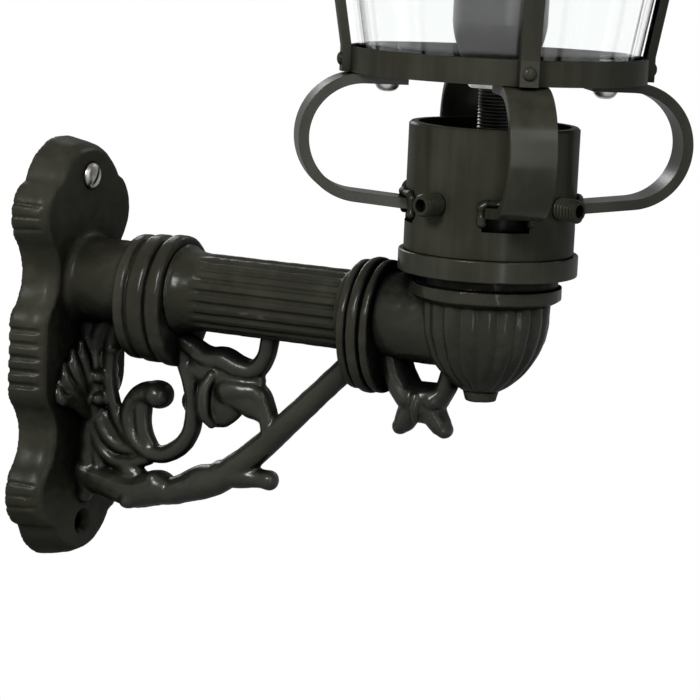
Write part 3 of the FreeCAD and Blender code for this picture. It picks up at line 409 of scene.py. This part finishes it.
def joined(meshes):
    """One mesh of several, which are used up."""
    form = bmesh.new()
    for mesh in meshes:
        form.from_mesh(mesh)
        bpy.data.meshes.remove(mesh)
    mesh = bpy.data.meshes.new("joined")
    form.to_mesh(mesh)
    form.free()
    return mesh


sand_marks = bpy.data.textures.new("sand_marks", "CLOUDS")
sand_marks.noise_scale = sand_spacing * MM
sand_marks.noise_depth = 2


def cast_together(meshes, grain, smoothing, kept):
    """Melt overlapping lumps into one uneven casting, with the corners between them filled a little."""
    return evaluated(joined(meshes), [
        ("REMESH", {"mode": "VOXEL", "voxel_size": grain * MM, "use_smooth_shade": True}),
        ("SMOOTH", {"factor": 0.5, "iterations": smoothing}),
        ("DISPLACE", {"texture": sand_marks, "texture_coords": "LOCAL", "mid_level": 0.5,
                      "strength": sand_depth * MM}),
        ("DECIMATE", {"ratio": kept}),
    ])


def lathe(profile, count, hollow=False):
    """Form turned about the Z axis from points (radius, height), closed by flat ends or left hollow."""
    form = bmesh.new()
    angles = [2 * math.pi * k / count for k in range(count)]
    rings = []
    for radius, height in profile:
        corners = [(radius * math.cos(angle), radius * math.sin(angle), height) for angle in angles]
        rings.append([form.verts.new(Vector(corner) * MM) for corner in corners])
    following = rings[1:] + rings[:1] if hollow else rings[1:]
    for low, high in zip(rings, following):
        for k in range(count):
            form.faces.new((low[k], low[k - 1], high[k - 1], high[k]))
    if not hollow:
        form.faces.new(rings[0])
        form.faces.new(list(reversed(rings[-1])))
    bmesh.ops.recalc_face_normals(form, faces=form.faces)
    return form


def thread(radius, depth, pitch, bottom, top):
    """Crests and roots of a thread, as points (radius, height) for a lathe."""
    turns = round((top - bottom) / pitch)
    step = (top - bottom) / turns
    points = []
    for k in range(turns):
        start = bottom + k * step
        points += [(radius - depth, start), (radius, start + 0.4 * step), (radius, start + 0.6 * step)]
    return points + [(radius - depth, top)]


def node_form(name):
    """Copy of a node's mesh, with the doubled points along its edges welded."""
    form = bmesh.new()
    form.from_mesh(nodes[name].data)
    bmesh.ops.remove_doubles(form, verts=form.verts, dist=weld_gap * MM)
    return form


def softened(name, width, chosen=None):
    """Copy of a node whose sharp edges, or the chosen ones of them, are rounded off by a width."""
    form = node_form(name)
    bmesh.ops.dissolve_limit(form, angle_limit=math.radians(1.0), verts=form.verts, edges=form.edges)
    edges = [edge for edge in form.edges
             if edge.is_manifold and edge.calc_face_angle() > math.radians(sharp_edge)
             and (chosen is None or all(chosen(corner.co / MM) for corner in edge.verts))]
    bmesh.ops.bevel(form, geom=edges, offset=width * MM, offset_type="OFFSET", segments=2, profile=0.5,
                    affect="EDGES", clamp_overlap=True)
    return evaluated(form_to_mesh(form), [("WEIGHTED_NORMAL", {"keep_sharp": True})])


def form_to_mesh(form, sharp_angle=sharp_edge):
    """Turn a form into a mesh that is smooth but for its sharp edges."""
    mesh = bpy.data.meshes.new("form")
    form.to_mesh(mesh)
    form.free()
    mesh.shade_smooth()
    mesh.set_sharp_from_angle(angle=math.radians(sharp_angle))
    return mesh


# Scrollwork: strands measured in the plane of the arm, melted into one casting

def volute():
    """Strand from the inner collar that rounds the loop and curls up to a thick knob."""
    curl = flat_strand([(69.0, 10.0, 4.2), (74.5, -1.0, 4.2), (78.4, -12.0, 4.3), (79.6, -24.0, 4.3),
                        (77.0, -35.0, 4.4), (70.0, -42.5, 4.5), (61.0, -45.7, 4.5), (52.0, -43.5, 4.3),
                        (45.5, -37.0, 4.0), (43.0, -29.0, 4.0), (45.5, -21.5, 4.5), (52.0, -17.0, 5.6),
                        (58.0, -16.4, 6.4)], 1.15)
    knob = egg((59.5, 0.0, -16.6), (7.8, 8.2, 6.9), 12.0)
    stalk = flat_strand([(56.5, -44.0, 4.6), (52.5, -37.0, 4.7), (51.0, -29.0, 4.7),
                         (51.5, -20.0, 5.0)], 0.9)
    return [curl, knob, stalk]


def left_strand():
    """Strand that hangs from the boss and joins the loop, with the small curl beside it."""
    hanging = flat_strand([(35.5, 19.0, 4.6), (32.8, 8.0, 4.2), (31.6, -3.0, 3.7), (31.7, -13.0, 3.6),
                           (34.8, -25.0, 3.7), (40.5, -35.5, 4.0), (47.0, -42.0, 4.0)])
    ear = flat_strand([(30.0, 17.0, 4.4), (26.0, 11.0, 4.8), (23.5, 3.0, 4.6), (22.5, -5.0, 4.0)], 1.2)
    bead = egg((33.0, 0.0, 3.0), (4.4, 5.0, 3.2))
    return [hanging, ear, bead]


def twig():
    """Knotted branch that rises to the outer collar, with its bud and cut knots."""
    stem = flat_strand([(15.0, -59.5, 8.2), (30.0, -63.0, 7.5), (49.0, -65.6, 8.4), (62.0, -62.2, 8.9),
                        (68.5, -62.8, 6.9), (75.0, -60.5, 7.1), (85.0, -56.3, 8.7), (95.0, -52.6, 7.6),
                        (104.0, -46.2, 6.9), (117.5, -34.5, 6.3), (134.0, -18.0, 5.9), (151.0, -1.0, 5.7),
                        (170.0, 18.0, 5.7)])
    bud = flat_strand([(96.0, -50.5, 6.8), (106.0, -50.0, 6.4), (114.0, -50.0, 5.0), (118.0, -50.0, 4.7),
                       (121.8, -50.2, 5.0)])
    lower_knot = egg((47.0, -4.0, -69.5), (5.2, 5.0, 4.6))
    upper_knot = egg((46.0, 1.0, -57.0), (9.5, 5.5, 5.4), 22.0)
    side_knot = egg((60.0, -2.0, -57.6), (5.6, 6.0, 4.0), -20.0)
    return [stem, bud, lower_knot, upper_knot, side_knot]


def lily():
    """Hollow bulb behind the loop that opens into a petal up to the tube and a petal down to the twig."""
    upper = flat_strand([(69.0, 13.0, 5.0), (78.0, 9.0, 4.9), (87.0, 4.6, 5.6), (96.0, 4.6, 6.2),
                         (105.0, 1.6, 5.8), (112.5, 2.0, 5.0), (117.4, 8.0, 4.3), (119.8, 19.0, 4.4)], 1.2)
    lower = flat_strand([(100.0, -9.0, 7.0), (107.5, -8.6, 6.4), (114.4, -9.2, 5.0), (118.6, -15.0, 4.4),
                         (121.5, -26.0, 4.6)], 1.2)
    throat = flat_strand([(78.0, -1.0, 5.0), (88.0, -2.5, 7.0), (98.0, -3.5, 7.0), (109.0, -2.6, 6.0),
                          (114.0, -3.4, 4.0)], 0.8)
    web = flat_strand([(99.0, -10.0, 8.0), (106.0, -12.4, 7.4), (112.0, -15.4, 7.0),
                       (117.5, -18.6, 5.0)], 0.9)
    bulb = flat_strand([(79.0, -18.0, 6.5), (83.0, -17.8, 8.0), (86.5, -17.2, 12.2), (92.0, -15.2, 14.2),
                        (98.0, -12.0, 12.6), (104.0, -8.0, 8.6), (108.0, -6.0, 6.0)], 0.38)
    rims = [strand([(92.0, side * 5.6, -2.5, 2.4), (89.4, side * 7.4, -9.0, 3.0),
                    (89.0, side * 7.8, -16.0, 3.2), (89.8, side * 7.0, -22.0, 2.8),
                    (92.0, side * 4.4, -26.6, 2.2)]) for side in (-1, 1)]
    return [upper, lower, throat, web, bulb] + rims


def acanthus():
    """Stem on the wall plate, with fingers of leaf fanned out on both sides and a flared foot."""
    stem = flat_strand([(18.0, 14.0, 6.0), (21.0, 2.0, 6.4), (22.5, -12.0, 7.4), (22.5, -24.0, 7.0),
                        (20.5, -36.0, 5.0), (20.0, -50.0, 5.6), (20.0, -64.0, 7.6), (18.0, -71.0, 5.0)])
    outer_root = flat_strand([(19.0, -28.0, 4.6), (23.5, -38.0, 4.2), (28.0, -47.0, 3.8),
                              (34.0, -51.6, 3.6), (44.0, -52.4, 3.5), (55.0, -48.5, 3.6)])
    inner_root = flat_strand([(22.0, -25.0, 4.2), (26.0, -33.0, 3.9), (31.0, -40.5, 3.7),
                              (38.0, -44.6, 3.6), (48.0, -45.0, 3.4)])
    fill = flat_strand([(26.0, -28.0, 3.4), (31.0, -34.0, 4.2), (38.0, -40.0, 4.4),
                        (45.0, -42.0, 4.0)], 0.6)
    web = flat_strand([(22.5, -38.0, 3.2), (25.5, -50.0, 3.8), (28.0, -62.0, 5.4)])
    knuckles = [egg((27.6, 0.0, height), (5.0, 8.6, 4.4)) for height in (-11.0, -22.0)]
    finger_tips = [(9.0, 5.0, 22.5), (15.0, 1.5, 21.5), (20.5, -4.5, 20.5), (24.0, -13.0, 19.5)]
    fingers = []
    for side in (-1, 1):
        for reach, tip, lift in finger_tips:
            fingers.append(strand([(22.0, side * 5.0, -30.0, 3.0),
                                   (lift, side * reach * 0.74, tip * 0.5 - 15.0, 3.9),
                                   (lift - 1.0, side * reach, tip - 6.5, 3.6),
                                   (lift - 2.4, side * reach * 0.97, tip, 1.9)]))
    return [stem, outer_root, inner_root, fill, web] + knuckles + fingers


scroll_lumps = volute() + left_strand() + twig() + lily() + acanthus()
scroll_mesh = cast_together(scroll_lumps, grain=0.8, smoothing=4, kept=0.45)
add_piece("scroll_casting", scroll_mesh, "ornament", "bracket", ["scrollwork"])


# Forked leaf under the elbow

def forked_leaf():
    """Thick leaf in the corner of the elbow and the cup, with an eye above and a fish tail below."""
    left_arm = flat_strand([(184.0, 22.0, 6.4), (186.2, 13.0, 6.6), (189.8, 5.0, 6.8),
                            (194.0, -0.4, 6.8)], 1.6)
    right_arm = flat_strand([(215.6, 20.0, 5.0), (213.0, 10.0, 4.6), (211.0, 4.5, 4.6),
                             (206.6, -0.4, 6.0)], 1.6)
    heart = flat_strand([(194.0, 0.8, 6.4), (200.0, 0.2, 6.8), (206.0, 0.8, 6.4)], 1.4)
    saddle = flat_strand([(194.0, -8.0, 5.0), (199.5, -7.4, 5.0), (206.0, -8.0, 5.0)], 1.3)
    left_leg = flat_strand([(196.0, -4.0, 6.2), (193.0, -9.6, 5.6), (191.0, -13.4, 4.9),
                            (189.6, -15.0, 4.0)], 1.3)
    right_leg = flat_strand([(204.0, -4.0, 6.2), (207.6, -9.6, 5.4), (210.4, -13.0, 4.8),
                             (211.6, -14.2, 4.0)], 1.3)
    spine = strand([(200.0, -8.2, 1.0, 2.2), (200.0, -8.6, -4.0, 2.4), (199.6, -6.6, -10.0, 1.8)])
    return [left_arm, right_arm, heart, saddle, left_leg, right_leg, spine]


leaf_mesh = cast_together(forked_leaf(), grain=0.7, smoothing=4, kept=0.5)
add_piece("forked_leaf", leaf_mesh, "ornament", "bracket", ["pendant_leaf"])


# Castings with the soft edges that sand and paint leave: grain, passes of smoothing and share of faces kept

casting_softness = {
    "wall_plate": (0.6, 3, 0.12),
    "inner_collar": (0.5, 4, 0.25),
    "outer_collar": (0.5, 4, 0.25),
    "fluted_tube": (0.5, 4, 0.22),
    "elbow_cup": (0.5, 1, 0.24),
    "drain_plug": (0.4, 3, 0.25),
}


def tube_flare():
    """Hollow cove that spreads the tube's root over the face of the inner collar."""
    bore, start, end = 15.0, 0.2, 19.0
    cove = [(22.4, start), (21.0, 1.4), (20.0, 3.2), (19.4, 5.6), (18.9, 8.6), (18.3, 13.0), (17.2, end)]
    mesh = form_to_mesh(lathe([(bore, start)] + cove + [(bore, end)], count=96, hollow=True))
    root = Matrix.Translation((tube_low.x * MM, 0.0, (tube_low.z + tube_high.z) / 2 * MM))
    mesh.transform(root @ outwards)
    return mesh


additions = {"fluted_tube": [tube_flare()]}
for name, (grain, smoothing, kept) in casting_softness.items():
    lumps = [form_to_mesh(node_form(name))] + additions.get(name, [])
    casting = cast_together(lumps, grain, smoothing, kept)
    add_piece(f"{name}_casting", casting, finish_of.get(name, "cast"), "bracket", [name])


# Straps and flange with broken edges

for index in range(1, 5):
    strap = softened(f"leg_{index}", edge_break)
    add_piece(f"strap_{index}", strap, "strap", "lantern", [f"leg_{index}"])


def on_flange_edge(place, margin=0.5):
    return math.hypot(place.x - cup_axis_x, place.y) > spigot_radius - margin


flange = softened("spigot", edge_break, on_flange_edge)
add_piece("seat_flange", flange, "strap", "bracket", ["spigot"])


# Welds round the roots of the straps

def strap_weld(angle, root=90.5, half_width=10.6, top_lift=3.8, top_size=2.6, side_size=2.3):
    """Run of weld over the top and down both sides of a strap's root."""
    lumps = []
    turn = math.radians(angle)
    side_lifts = (-4.2, -2.0, 0.4, 2.6)
    stand_out, unevenness = 0.5, 0.14
    beads = [(across, root + top_lift, top_size) for across in range(-9, 10, 3)]
    beads += [(side * half_width, root + lift, side_size) for side in (-1, 1) for lift in side_lifts]
    for index, (across, height, size) in enumerate(beads):
        swell = size * (1.0 + unevenness * math.sin(2.3 * index + angle))
        reach = math.sqrt(socket_radius ** 2 - across ** 2) + stand_out
        place = Matrix.Rotation(turn, 3, "Z") @ Vector((reach, across, height))
        lumps.append(egg((place.x + cup_axis_x, place.y, place.z), (swell, swell, 0.9 * swell)))
    return lumps


welds = [lump for quarter in range(4) for lump in strap_weld(leg_angle + 90.0 * quarter)]
weld_mesh = cast_together(welds, grain=0.5, smoothing=3, kept=0.3)
add_piece("strap_welds", weld_mesh, "cast", "lantern")


# Threaded set screws, cable tube and rivets

def set_screw(radius=5.0, recess_radius=2.9, recess_depth=5.0, pitch=1.75, thread_depth=0.7):
    """Grub screw along Z, measured from the cup's axis, with a round key recess in its end."""
    start = set_screw_tip
    end = set_screw_end
    profile = [(0.6 * radius, start)] + thread(radius, thread_depth, pitch, start + 0.5, end - 1.2)
    profile += [(radius - 0.3, end - 0.9), (radius - 0.8, end)]
    profile += [(recess_radius, end), (recess_radius, end - recess_depth)]
    return form_to_mesh(lathe(profile, count=32), sharp_thread)


def around_cup(mesh, first_angle, height):
    """Four copies of a mesh that lies along Z, pointed outwards round the cup's axis."""
    copies = []
    for quarter in range(4):
        copy = mesh.copy()
        turn = Matrix.Rotation(math.radians(first_angle + 90.0 * quarter), 4, "Z")
        copy.transform(Matrix.Translation((cup_axis_x * MM, 0.0, height * MM)) @ turn @ outwards)
        copies.append(copy)
    return copies


screws = joined(around_cup(set_screw(), set_screw_angle, (screws_low.z + screws_high.z) / 2))
screws.shade_smooth()
screws.set_sharp_from_angle(angle=math.radians(sharp_thread))
add_piece("grub_screws", screws, "tube", "lantern", ["set_screws"])


def threaded_tube(radius=8.0, bore=5.5, bore_depth=1.0, thread_depth=0.6, pitch=1.5):
    """Threaded tube that carries the cable from the socket to the lamp holder."""
    bottom, top = cable_tube_low.z, cable_tube_high.z
    outer = thread(radius, thread_depth, pitch, bottom, top)
    lower_end = [(bore, bottom + bore_depth), (bore, bottom)]
    upper_end = [(bore, top), (bore, top - bore_depth)]
    mesh = form_to_mesh(lathe(lower_end + outer + upper_end, count=40), sharp_thread)
    mesh.transform(Matrix.Translation((cup_axis_x * MM, 0.0, 0.0)))
    return mesh


add_piece("threaded_tube", threaded_tube(), "dark", "lantern", ["cable_tube"])


def dome(radius, height, steps):
    """Points (radius, height) from the rim of a round head to just short of its top."""
    angles = [k * math.pi / 2 / steps for k in range(steps)]
    return [(radius * math.cos(angle), height * math.sin(angle)) for angle in angles]


def rivet(radius=3.0, height=1.8, sunk=0.8):
    return form_to_mesh(lathe([(radius, -sunk)] + dome(radius, height, steps=7), count=24), sharp_thread)


rivets = []
for reach, height in ((tray_radius + rib_thickness, (tray_low.z + tray_high.z) / 2),
                      (ring_radius + rib_thickness, (ring_low.z + ring_high.z) / 2)):
    head = rivet()
    head.transform(Matrix.Translation((0.0, 0.0, reach * MM)))
    rivets += around_cup(head, leg_angle, height)
rivet_mesh = joined(rivets)
rivet_mesh.shade_smooth()
add_piece("rib_rivets", rivet_mesh, "tube", "lantern")


# Slotted wall screw in the upper hole

def wall_screw(head_radius=6.3, head_height=3.4, shank_radius=3.2, shank_length=6.0, seat=2.6,
               slot_width=1.8, slot_depth=1.9, slot_angle=-31.0):
    """Round-headed screw that sits in the plate's countersink."""
    rim_sunk, crown_radius = 0.2, 0.6
    profile = [(shank_radius, -seat - shank_length), (shank_radius, -seat), (head_radius, -rim_sunk)]
    profile += dome(head_radius, head_height, steps=8) + [(crown_radius, head_height)]
    head = form_to_mesh(lathe(profile, count=40))
    cutter = bmesh.new()
    bmesh.ops.create_cube(cutter, size=1.0)
    box = Matrix.Diagonal((3 * head_radius * MM, slot_width * MM, 2 * slot_depth * MM, 1.0))
    lift = Matrix.Translation((0.0, 0.0, head_height * MM))
    cutter.transform(lift @ Matrix.Rotation(math.radians(slot_angle), 4, "Z") @ box)
    slot_mesh = bpy.data.meshes.new("slot")
    cutter.to_mesh(slot_mesh)
    cutter.free()
    slot_holder = bpy.data.objects.new("slot", slot_mesh)
    bpy.context.scene.collection.objects.link(slot_holder)
    mesh = evaluated(head, [("BOOLEAN", {"object": slot_holder, "operation": "DIFFERENCE"})])
    bpy.data.objects.remove(slot_holder)
    bpy.data.meshes.remove(slot_mesh)
    return mesh


upper_hole = Vector((plate_front, 0.0, holes["dims"]["spacing_y_mm"] / 2))
screw_mesh = wall_screw()
screw_mesh.transform(Matrix.Translation(upper_hole * MM) @ outwards)
add_piece("wall_screw", screw_mesh, "dull", "bracket")


# Stage, light and camera

def stage_plane(name, size, height):
    """Level square under the piece."""
    half = size / 2
    corners = [(-half, -half, 0), (half, -half, 0), (half, half, 0), (-half, half, 0)]
    mesh = bpy.data.meshes.new(name)
    mesh.from_pydata(corners, [], [(0, 1, 2, 3)])
    plane = bpy.data.objects.new(name, mesh)
    bpy.context.scene.collection.objects.link(plane)
    plane.location = (0.0, 0.0, height)
    return plane


def seen(shader):
    """1 for the camera and for what mirrors or passes its view, 0 for the light that falls on the piece."""
    rays = [shader.add("ShaderNodeLightPath", output=f"Is {kind} Ray")
            for kind in ("Camera", "Glossy", "Transmission")]
    return shader.between(sum(rays), 0.0, 1.0)


def pale_floor():
    """Pale floor with the piece's shadow below it, which fades to white further off."""
    shader = Shader("pale_floor")
    diffuse = shader.add("ShaderNodeBsdfDiffuse", None, {"Color": colour(0.85, 0.85, 0.84)})
    white = shader.add("ShaderNodeEmission", None, {"Color": colour(1.0, 1.0, 1.0), "Strength": 1.0})
    distance = shader.add("ShaderNodeVectorMath", {"operation": "LENGTH"}, {0: shader.place()}, 1)
    nearby = 0.35
    whiteness = nearby + shader.between(distance, 0.7, 2.6) * (1.0 - nearby)
    surface = shader.add("ShaderNodeMixShader", None, {0: seen(shader) * whiteness, 1: diffuse, 2: white})
    shader.add("ShaderNodeOutputMaterial", None, {"Surface": surface})
    return shader.material


def area_light(name, place, target, size, power):
    """Rectangular lamp of a width and height, turned to a target."""
    data = bpy.data.lights.new(name, "AREA")
    data.shape = "RECTANGLE"
    data.size, data.size_y = size
    data.energy = power
    light = bpy.data.objects.new(name, data)
    bpy.context.scene.collection.objects.link(light)
    light.location = place
    light.rotation_mode = "QUATERNION"
    light.rotation_quaternion = (Vector(target) - Vector(place)).to_track_quat("-Z", "Y")


def photo_camera():
    """Long lens that looks at the arm from the side and a little from above, rolled with the picture."""
    back = Vector((math.sin(view_azimuth) * math.cos(view_elevation),
                   -math.cos(view_azimuth) * math.cos(view_elevation), math.sin(view_elevation)))
    level = Vector((math.cos(view_azimuth), math.sin(view_azimuth), 0.0))
    above = back.cross(level)
    right = level * math.cos(view_roll) + above * math.sin(view_roll)
    up = above * math.cos(view_roll) - level * math.sin(view_roll)
    data = bpy.data.cameras.new("photo_camera")
    data.lens = view_lens
    data.sensor_width = view_sensor
    camera = bpy.data.objects.new("photo_camera", data)
    bpy.context.scene.collection.objects.link(camera)
    place = Matrix.Translation((view_target + back * view_distance) * MM)
    camera.matrix_world = place @ Matrix((right, up, back)).transposed().to_4x4()
    bpy.context.scene.camera = camera


def light_world(strength):
    """Even studio light, with white behind the piece."""
    world = bpy.data.worlds.new("studio")
    bpy.context.scene.world = world
    world.use_nodes = True
    shader = Shader("studio", world.node_tree)
    sky, paper = colour(0.95, 0.97, 1.0), colour(1.0, 1.0, 1.0)
    soft = shader.add("ShaderNodeBackground", None, {"Color": sky, "Strength": strength})
    white = shader.add("ShaderNodeBackground", None, {"Color": paper, "Strength": 1.0})
    surface = shader.add("ShaderNodeMixShader", None, {0: seen(shader), 1: soft, 2: white})
    shader.add("ShaderNodeOutputWorld", None, {"Surface": surface})


floor = stage_plane("floor", size=40.0, height=-1.2)
floor.data.materials.append(pale_floor())
light_world(strength=0.09)

# Lamps in metres and watts: place, target, width and height, power
lamps = {
    "key": ((0.04, -1.56, 0.95), (0.15, 0.0, 0.05), (0.45, 0.45), 44.0),
    "right_top": ((1.31, -0.70, 1.03), (0.1, 0.0, 0.05), (0.5, 0.5), 6.0),
    "right_strip": ((1.31, -1.16, 0.27), (0.23, 0.0, 0.05), (0.10, 1.4), 6.5),
    "left_strip": ((-1.16, -0.80, 0.05), (0.23, 0.0, 0.05), (0.30, 0.8), 0.5),
    "rim": ((0.5, 1.2, 1.0), (0.15, 0.0, 0.1), (0.4, 0.4), 4.5),
    "back": ((-1.15, 1.05, 0.85), (0.15, 0.0, 0.15), (0.8, 0.8), 22.0),
}
for name, (place, target, size, power) in lamps.items():
    area_light(name, place, target, size, power)
photo_camera()
bpy.context.scene.view_settings.view_transform = "Standard"
